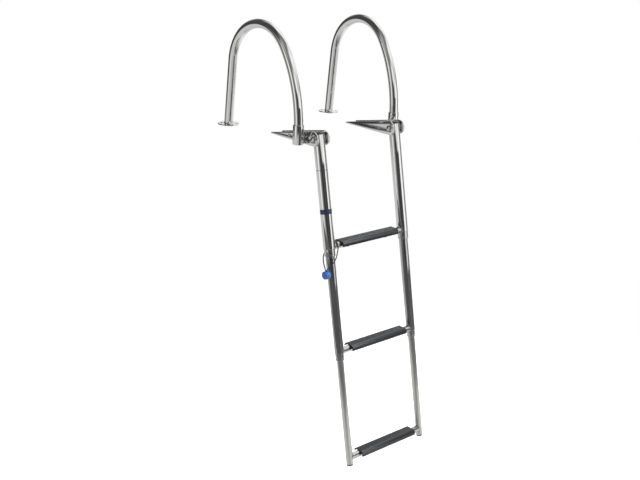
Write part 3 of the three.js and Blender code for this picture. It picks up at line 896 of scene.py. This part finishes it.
def sleeve_tube():
    """The sleeve with its set-screw hole outboard, and two weld beads where it meets the cheek."""
    hole = along_x(rod(SLEEVE_HOLE, 0, 2 * SLEEVE_RADIUS))
    tube = pipe(SLEEVE_RADIUS, SLEEVE_BORE, GAP, SLEEVE_TOP, SLEEVE_EDGE)
    tube = cut(tube, moved(hole, z=SET_SCREW_HEIGHT))
    out = SLEEVE_BEAD_OUT - (SLEEVE_PLACE.x - BRACKET_X - BRACKET_HALF_WIDTH)
    rise = (SLEEVE_BEAD_TOP - SLEEVE_BEAD_LOW) / SLEEVE_BEAD_STEPS
    heights = [SLEEVE_BEAD_LOW + rise * step for step in range(SLEEVE_BEAD_STEPS + 1)]
    beads = []
    for side in (-1, 1):
        path = [(out, side * SLEEVE_BEAD_APART, height) for height in heights]
        beads.append(skin(section_rings(path, sleeve_bead, 14, (1, 0, 0))))
    return together(tube, *beads)


def ripple(distance, depth, pitch):
    """The swell of a weld bead, whose ripples repeat at a pitch along it."""
    return 1 + depth * math.sin(2 * math.pi * distance / pitch)


def sleeve_bead(distance, angle):
    """The radius of a rippled weld bead that closes at both ends."""
    from_end = min(distance, SLEEVE_BEAD_TOP - distance) / SLEEVE_BEAD_RADIUS
    closing = math.sqrt(max(0.02, 1 - (1 - min(1, max(0, from_end))) ** 2))
    return SLEEVE_BEAD_RADIUS * ripple(distance, *SLEEVE_RIPPLE) * closing


def set_screw():
    """A grub screw with a hexagon socket."""
    inner = HOOP_RADIUS + GAP
    outer = SLEEVE_RADIUS + 0.0006
    radius = SET_SCREW_RADIUS
    screw = lathe(rounded(((0, inner), (radius, inner), (radius, outer, 0.0004), (0, outer))), SMALL_SIDES)
    socket = hexagon(SET_SCREW_SOCKET, outer - SET_SCREW_SOCKET_DEPTH, outer + OVERCUT)
    return along_x(cut(screw, socket))


def hexagon(flats, low, high):
    corner = flats / 2 / math.cos(math.pi / 6)
    turns = [side * math.pi / 3 for side in range(6)]
    return prism([(corner * math.cos(t), corner * math.sin(t)) for t in turns], low, high)


def cross_recess(size, low, high):
    """A cross-shaped tool for a screw's recess, narrower at the bottom."""
    arms = []
    for length, width in ((size, size * 0.24), (size * 0.24, size)):
        rings = []
        for share, height in ((0.45, low), (1.0, high)):
            x = length / 2 * share
            y = width / 2 * (0.5 + share / 2)
            rings.append([(-x, -y, height), (x, -y, height), (x, y, height), (-x, y, height)])
        arms.append(skin(rings))
    return join(*arms)


def pan_head_screw(radius, head, height, tip, seat):
    """A screw along Z: its shank from the tip up to the seat, and a domed head above."""
    profile = rounded(((0, tip), (radius, tip, 0.0003), (radius, seat), (head, seat)))
    profile += dome(head, seat + height * 0.2, height * 0.8)
    recess = cross_recess(head * 1.2, seat + height * 0.35, seat + height + 0.0002)
    return cut(lathe(profile, SMALL_SIDES), recess)


def bracket_sheet():
    """The folded sheet of the right bracket: a channel with round bends, trimmed to its side outline."""
    half = BRACKET_HALF_WIDTH
    inner = half - SHEET
    over = 3 * PIVOT.z
    section = rounded(
        (
            (-half, over),
            (-half, 0, SHEET_BEND),
            (half, 0, SHEET_BEND),
            (half, over),
            (inner, over),
            (inner, SHEET, SHEET_BEND - SHEET),
            (-inner, SHEET, SHEET_BEND - SHEET),
            (-inner, over),
        ),
        closed=True,
    )
    channel = along_y(prism(section, -PIVOT.z - OVERCUT, BRACKET_TIP + OVERCUT))
    drop = PIVOT.z - BRACKET_TIP_HEIGHT
    tangent = math.acos(PIVOT.z / math.hypot(BRACKET_TIP, drop)) - math.atan2(drop, BRACKET_TIP)
    tip = rounded(((0, 0), (BRACKET_TIP, 0), (BRACKET_TIP, BRACKET_TIP_HEIGHT, 0.0015), (0, 0.045)))
    outline = [*tip[:-1], *arc((0, PIVOT.z), PIVOT.z, tangent, math.pi * 1.5, 56)[:-1]]
    side = along_x(prism(outline, -2 * half, 2 * half))
    folded = combine("INTERSECT", channel, side)
    slot_low = (-inner, -0.03, -OVERCUT)
    holes = [box(slot_low, (inner, BRACKET_WEB_END, SHEET + 0.0002))]
    holes.append(moved(along_x(rod(BOLT_HOLE, -0.03, 0.03)), z=PIVOT.z))
    web_hole = rod(WEB_HOLE_RADIUS, -OVERCUT, SHEET + OVERCUT)
    holes += [moved(web_hole, y=place) for place in WEB_HOLES]
    across, up = SIDE_SCREW_PLACE
    holes.append(moved(along_x(rod(SIDE_SCREW_HOLE, 0, 0.03)), y=across, z=up))
    return soften(cut(folded, *holes), 0.0004)


def pivot_bolt():
    """Button head with a hexagon socket, towards -X, and the shank."""
    low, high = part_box("pivot_bolt_left")
    head = (high.z - low.z) / 2
    crown = low.x + BRACKET_X
    end = high.x + BRACKET_X
    face = -CHEEK_FACE
    button = dome(head, BOLT_RIM, face - crown - BOLT_RIM)
    profile = [(radius, face - up) for radius, up in button[::-1]]
    profile += [(head, face), (BOLT_RADIUS, face), (BOLT_RADIUS, end), (0, end)]
    socket = hexagon(BOLT_SOCKET, crown - OVERCUT, crown + BOLT_SOCKET_DEPTH)
    return along_x(cut(lathe(profile), socket))


def dome_nut():
    """A chamfered hexagon nut closed by a dome, towards +X."""
    corner = NUT_FLATS / 2 / math.cos(math.pi / 6)
    shoulder = CHEEK_FACE + NUT_HEX_HEIGHT
    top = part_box("pivot_nut_left")[1].x + BRACKET_X
    chamfered = (
        (0, CHEEK_FACE),
        (corner - 0.0009, CHEEK_FACE),
        (corner + 0.0001, CHEEK_FACE + 0.0006),
        (corner + 0.0001, shoulder - 0.0009),
        (corner - 0.0016, shoulder),
        (0, shoulder),
    )
    flats = hexagon(NUT_FLATS, CHEEK_FACE - OVERCUT, shoulder + OVERCUT)
    nut = soften(combine("INTERSECT", flats, lathe(chamfered)), 0.0002)
    radius = NUT_DOME_RADIUS
    low = shoulder - OVERCUT
    rim = shoulder + NUT_DOME_RIM
    nut = join(nut, lathe([(0, low), (radius, low), *dome(radius, rim, top - rim)]))
    return along_x(cut(nut, rod(BOLT_HOLE, 0, CHEEK_FACE + NUT_BORE_DEPTH)))


def washer(node):
    low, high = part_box(node)
    half = (high.x - low.x) / 2
    return along_x(pipe((high.z - low.z) / 2, BOLT_HOLE, -half, half, 0.0003))


# ---- ladder pieces


def stile_tube(node, bore, hole, height):
    """A tube of the stile, drilled across at a height."""
    low, high = along_stile(node)
    tube = pipe(half_width(node), bore, low, high)
    return cut(tube, moved(along_x(rod(hole, -0.02, 0.02)), z=height))


def stile_cap(node):
    low, high = along_stile(node)
    seat = along_stile(node.replace("stile_cap", "upper_stile"))[1] + GAP
    radius = half_width(node)
    plug = UPPER_BORE - GAP
    rim = seat + CAP_RIM
    profile = [(0, low), (plug, low), (plug, seat), (radius - CAP_RIM / 2, seat)]
    return lathe(profile + dome(radius, rim, high - rim))


def collar(node, outer, bore_of):
    """The ring below a tube and its hidden insert. A shallow groove runs round the ring."""
    low, high = along_stile(node)
    seat = along_stile(outer)[0] - GAP
    radius = half_width(node)
    insert = COLLAR_INSERTS[node.split("_")[0]]
    bore = half_width(bore_of) + GAP
    groove_low, groove_high = (low + height for height in COLLAR_GROOVE)
    floor = radius - COLLAR_GROOVE_DEPTH
    corners = (
        (radius, low, 0.0009),
        (radius, groove_low, 0.0003),
        (floor, groove_low + COLLAR_GROOVE_DEPTH, 0.0002),
        (floor, groove_high - COLLAR_GROOVE_DEPTH, 0.0002),
        (radius, groove_high, 0.0003),
        (radius, seat, 0.0008),
        (insert, seat),
        (insert, high, 0.0004),
        (bore, high, 0.0004),
        (bore, low, 0.0006),
    )
    return lathe(rounded(corners, closed=True), closed=True)


def foot_cap(node):
    low, high = along_stile(node)
    seat = along_stile(node.replace("foot_cap", "lower_stile"))[0] - GAP
    radius = half_width(node)
    plug = LOWER_BORE - GAP
    corners = [(0, low), (radius, low, 0.0026), (radius, seat, 0.0003)]
    corners += [(plug, seat), (plug, high, 0.001), (0, high)]
    return lathe(rounded(corners))


def rung_tube(stile_radius):
    """A rung coped round both stiles, drilled for its screws, with a weld bead at each end."""
    reach = BRACKET_X - 0.001
    tube = along_x(pipe(RUNG_RADIUS, RUNG_BORE, -reach, reach))
    stile = turned(rod(stile_radius + GAP, -0.04, 0.04), -LEAN, "X")
    drill = rod(SCREW_HOLE, -0.02, 0.02)
    cutters = []
    for side in (-1, 1):
        cutters += [moved(stile, x=side * BRACKET_X), moved(drill, x=side * SADDLE_OFFSET)]
    bead = coping_bead(stile_radius)
    return together(cut(tube, *cutters), bead, mirrored(bead))


def coping_bead(stile_radius):
    """The weld bead where the right end of a rung meets its stile."""
    around = stile_radius + 0.0002
    path = []
    for step in range(RUNG_BEAD_STEPS):
        turn = 2 * math.pi * step / RUNG_BEAD_STEPS
        y = RUNG_RADIUS * math.cos(turn)
        z = RUNG_RADIUS * math.sin(turn)
        off_axis = y * math.cos(LEAN) - z * math.sin(LEAN)
        path.append((BRACKET_X - math.sqrt(max(around**2 - off_axis**2, 4e-6)), y, z))

    def surface(distance, angle):
        return RUNG_BEAD_RADIUS * ripple(distance, *RUNG_RIPPLE)

    return skin(section_rings(path, surface, 12, (1, 0, 0), closed=True), closed=True)


def tread_section():
    """The tread's outline: a ribbed top, round shoulders, a skirt in front and a lip behind."""
    half = TREAD_HALF_DEPTH
    inside = half - TREAD_WALL
    bend_y = half - TREAD_CORNER
    bend_z = TREAD_TOP - TREAD_CORNER
    under = TREAD_CORNER - TREAD_WALL
    outer = [(-half, TREAD_SKIRT, TREAD_EDGE)]
    outer += arc((-bend_y, bend_z), TREAD_CORNER, math.pi, math.pi / 2, 10)
    for index in range(GROOVES):
        place = (index - (GROOVES - 1) / 2) * GROOVE_PITCH
        left = place - GROOVE_WIDTH / 2
        right = place + GROOVE_WIDTH / 2
        floor = TREAD_TOP - GROOVE_DEPTH
        outer += [(left, TREAD_TOP, GROOVE_RIM), (left, floor, GROOVE_FOOT)]
        outer += [(right, floor, GROOVE_FOOT), (right, TREAD_TOP, GROOVE_RIM)]
    outer += arc((bend_y, bend_z), TREAD_CORNER, math.pi / 2, 0, 10)
    outer += [(half, TREAD_LIP, TREAD_EDGE), (inside, TREAD_LIP, TREAD_EDGE)]
    outer += arc((bend_y, bend_z), under, 0, math.pi / 2, 8)
    outer += arc((-bend_y, bend_z), under, math.pi / 2, math.pi, 8)
    outer.append((-inside, TREAD_SKIRT, TREAD_EDGE))
    return rounded(outer, closed=True, steps=3)


def tread_moulding():
    """The tread, with two saddles inside that sit on the rung and take the screws."""
    shell = soften(along_x(prism(tread_section(), -TREAD_HALF_LENGTH, TREAD_HALF_LENGTH)), 0.0003)
    half = SADDLE_WIDTH / 2
    side = TREAD_HALF_DEPTH - TREAD_WALL / 2
    neck = TREAD_HALF_DEPTH - TREAD_CORNER
    cutters = [along_x(rod(RUNG_RADIUS + GAP, -2 * TREAD_HALF_LENGTH, 2 * TREAD_HALF_LENGTH))]
    for place in (-SADDLE_OFFSET, SADDLE_OFFSET):
        low = box((-half, -side, -0.001), (half, side, TREAD_TOP - TREAD_CORNER))
        high = box((-half, -neck, 0), (half, neck, TREAD_TOP - TREAD_WALL / 2))
        shell = join(shell, moved(join(low, high), x=place))
        cutters.append(moved(rod(SCREW_HOLE, 0, SCREW_HOLE_END), x=place))
    return cut(shell, *cutters)


def tread_screw():
    """The screw under a rung: its head is below, its tip in the tread."""
    low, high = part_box("tread_screw_top_left")
    rung = middle("rung_top").z
    seat = RUNG_RADIUS + GAP
    head = (high.x - low.x) / 2
    screw = pan_head_screw(TREAD_SCREW_RADIUS, head, rung - seat - low.z, rung - high.z, seat)
    return turned(screw, math.pi, "X")


# ---- lanyard


def centripetal_curve(points, steps):
    """The centripetal Catmull-Rom curve through the points, as the CAD draws it."""
    points = [Vector(point) for point in points]
    ends = [2 * points[0] - points[1], *points, 2 * points[-1] - points[-2]]
    curve = [points[0]]
    for index in range(1, len(points)):
        before, start, end, after = ends[index - 1 : index + 3]
        first = (start - before).length ** 0.5
        span = (end - start).length ** 0.5
        last = (after - end).length ** 0.5
        leaving = (start - before) / first - (end - before) / (first + span) + (end - start) / span
        arriving = (end - start) / span - (after - start) / (span + last) + (after - end) / last
        leaving *= span
        arriving *= span
        for step in range(1, steps + 1):
            t = step / steps
            square = -3 * start + 3 * end - 2 * leaving - arriving
            cube = 2 * start - 2 * end + leaving + arriving
            curve.append(start + leaving * t + square * t * t + cube * t**3)
    return curve


def evenly_spaced(curve, spacing):
    """Points a fixed distance apart along a curve, both ends included."""
    lengths = [0.0]
    for before, after in zip(curve, curve[1:]):
        lengths.append(lengths[-1] + (after - before).length)
    count = round(lengths[-1] / spacing)
    points = []
    index = 0
    for step in range(count + 1):
        target = lengths[-1] * step / count
        while index < len(curve) - 2 and lengths[index + 1] < target:
            index += 1
        share = (target - lengths[index]) / (lengths[index + 1] - lengths[index])
        points.append(curve[index].lerp(curve[index + 1], share))
    return points, lengths[-1]


def add_cord():
    """The lanyard: a braided cord from the toggle over the top rung and back."""
    stile = LADDER_FRAME @ Matrix.Translation((-BRACKET_X, 0, 0))
    route = [stile @ Vector(point) for point in CORD_ROUTE]
    path, length = evenly_spaced(centripetal_curve(route, 24), CORD_STEP)

    def braid(distance, angle):
        turn = 2 * math.pi * distance / BRAID_PITCH
        one = math.cos(2 * angle + 4 * turn)
        other = math.cos(2 * angle - 4 * turn + math.pi / 2)
        return CORD_DIAMETER / 2 + BRAID_DEPTH * (max(one, other) - 0.4)

    cord = skin(section_rings(path, braid, 32))
    piece = show("lanyard_cord", cord)
    with_pieces = [show("toggle", barrel_toggle(), stile @ Matrix.Translation(TOGGLE_PLACE))]


def barrel_toggle():
    """A barrel across the ladder, with one hole in its top for both ends of the cord."""
    low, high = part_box("toggle")
    half = (high.x - low.x) / 2
    radius = TOGGLE_RADIUS
    corners = ((0, -half), (radius, -half, TOGGLE_EDGE), (radius, half, TOGGLE_EDGE), (0, half))
    barrel = along_x(lathe(rounded(corners, steps=8)))
    return soften(cut(barrel, rod(TOGGLE_HOLE, 0, 2 * radius)), 0.0006, 3)


# ---- assembly


def add_deck_fittings():
    hoop = hoop_tube()
    flange = flange_disc()
    sleeve = sleeve_tube()
    screw = set_screw()
    bracket = bracket_sheet()
    side_screw = along_x(pan_head_screw(*SIDE_SCREW, BRACKET_HALF_WIDTH - SHEET, CHEEK_FACE))
    bolt = pivot_bolt()
    nut = dome_nut()
    at_flange = Matrix.Translation((0, hoop_path()[-1][1], 0))
    at_set_screw = Matrix.Translation((0, 0, SET_SCREW_HEIGHT))
    at_side_screw = Matrix.Translation((0, *SIDE_SCREW_PLACE))
    for side, sign in SIDES:
        foot = Matrix.Translation((sign * SLEEVE_PLACE.x, SLEEVE_PLACE.y, 0))
        splayed = foot @ Matrix.Rotation(-sign * SPLAY, 4, "Z")
        show(f"handrail_hoop_{side}", hoop, splayed)
        show(f"base_flange_{side}", flange, splayed @ at_flange)
        show(f"hoop_sleeve_{side}", sleeve if sign > 0 else mirrored(sleeve), foot)
        outboard = Matrix.Rotation(0 if sign > 0 else math.pi, 4, "Z")
        show(f"sleeve_set_screw_{side}", screw, foot @ at_set_screw @ outboard)
        base = Matrix.Translation((sign * BRACKET_X, 0, 0))
        sheet = bracket if sign > 0 else mirrored(bracket)
        show(f"hinge_bracket_{side}", sheet, base, "rolled_steel")
        show(f"bracket_side_screw_{side}", side_screw, base @ at_side_screw @ outboard)
        pivot = Matrix.Translation((sign * BRACKET_X, 0, PIVOT.z))
        show(f"pivot_bolt_{side}", bolt, pivot)
        show(f"pivot_nut_{side}", nut, pivot)
        for face in ("inner", "outer"):
            node = f"pivot_washer_{face}_{side}"
            show(node, washer(node), Matrix.Translation(middle(node)))


def add_stiles():
    for side, sign in SIDES:
        place = LADDER_FRAME @ Matrix.Translation((sign * BRACKET_X, 0, 0))
        upper, centre, lower = (f"{name}_stile_{side}" for name in ("upper", "middle", "lower"))
        centre_button = sum(along_stile(f"middle_bush_{side}")) / 2
        lower_button = sum(along_stile(f"lower_bush_{side}")) / 2
        upper_tube = stile_tube(upper, UPPER_BORE, BOLT_HOLE, 0)
        centre_tube = stile_tube(centre, MIDDLE_BORE, BUTTON_HOLE, centre_button)
        lower_tube = stile_tube(lower, LOWER_BORE, BUTTON_HOLE, lower_button)
        show(upper, upper_tube, place)
        show(centre, centre_tube, place, "drawn_steel")
        show(lower, lower_tube, place, "satin_steel")
        show(f"stile_cap_{side}", stile_cap(f"stile_cap_{side}"), place)
        show(f"upper_collar_{side}", collar(f"upper_collar_{side}", upper, centre), place)
        show(f"middle_collar_{side}", collar(f"middle_collar_{side}", centre, lower), place)
        show(f"foot_cap_{side}", foot_cap(f"foot_cap_{side}"), place)
        for name in ("middle_bush", "lower_bush"):
            bush = frame["nodes"][f"{name}_{side}"]
            bush.data.materials.clear()
            bush.data.materials.append(finishes["bush"])


def add_steps():
    tread = tread_moulding()
    screw = tread_screw()
    for step, stile in zip(STEPS, ("upper", "middle", "lower")):
        place = Matrix.Translation(middle(f"rung_{step}"))
        show(f"rung_{step}", rung_tube(half_width(f"{stile}_stile_left")), place)
        show(f"tread_{step}", tread, place)
        for side, sign in SIDES:
            at_screw = place @ Matrix.Translation((sign * SADDLE_OFFSET, 0, 0))
            show(f"tread_screw_{step}_{side}", screw, at_screw)


def add_label():
    """A plain printed band and rule round the left upper stile, with no lettering."""
    place = LADDER_FRAME @ Matrix.Translation((-BRACKET_X, 0, 0))
    radius = half_width("upper_stile_left")
    for name, (low, high) in (("label_band", LABEL_BAND), ("label_rule", LABEL_RULE)):
        film = pipe(radius + LABEL_THICKNESS, radius + LABEL_LIFT, low, high, 2 * LABEL_LIFT)
        film.transform(place)
        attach(add_mesh(name, film, printed(f"{name}_ink", INK)), "upper_ladder")


# The finish of each slot, then three more for the middle stiles, the brackets and the lower stiles.
finishes = {
    "polished_steel": steel("polished_steel", (0.80, 0.80, 0.79), (0.04, 0.10), 0.000003),
    "fastener_steel": steel("fastener_steel", (0.66, 0.655, 0.64), (0.18, 0.30), 0.000015),
    "collar": steel("collar_steel", (0.66, 0.66, 0.65), (0.16, 0.28), 0.000012),
    "bush": moulded("bush_nylon", (0.50, 0.51, 0.52), (0.6, 0.6, 0.6), (0.35, 0.5), 900),
    "cap": moulded("cap_plastic", (0.012, 0.012, 0.014), (0.05, 0.05, 0.055), (0.35, 0.5), 900),
    "tread": moulded("tread_plastic", (0.0125, 0.0142, 0.0165), (0.085, 0.092, 0.10), (0.25, 0.37), 700),
    "toggle": moulded("toggle_plastic", (0.030, 0.115, 0.37), (0.12, 0.26, 0.6), (0.25, 0.35), 500),
    "cord": braided("cord_braid"),
    "drawn_steel": steel("drawn_steel", (0.52, 0.52, 0.53), (0.08, 0.16), 0.00001),
    "rolled_steel": steel("rolled_steel", (0.76, 0.76, 0.75), (0.05, 0.10), 0.000003, 0.00008),
    "satin_steel": steel("satin_steel", (0.74, 0.74, 0.715), (0.30, 0.38), 0.00002),
}

add_camera()
add_cord()
add_studio()
for softbox in SOFTBOXES:
    add_softbox(*softbox)
for flag in FLAGS:
    add_flag(*flag)
add_floor()
add_deck_fittings()
add_stiles()
add_steps()
add_label()

bpy.context.scene.view_settings.view_transform = "Standard"
bpy.context.scene.view_settings.look = "None"
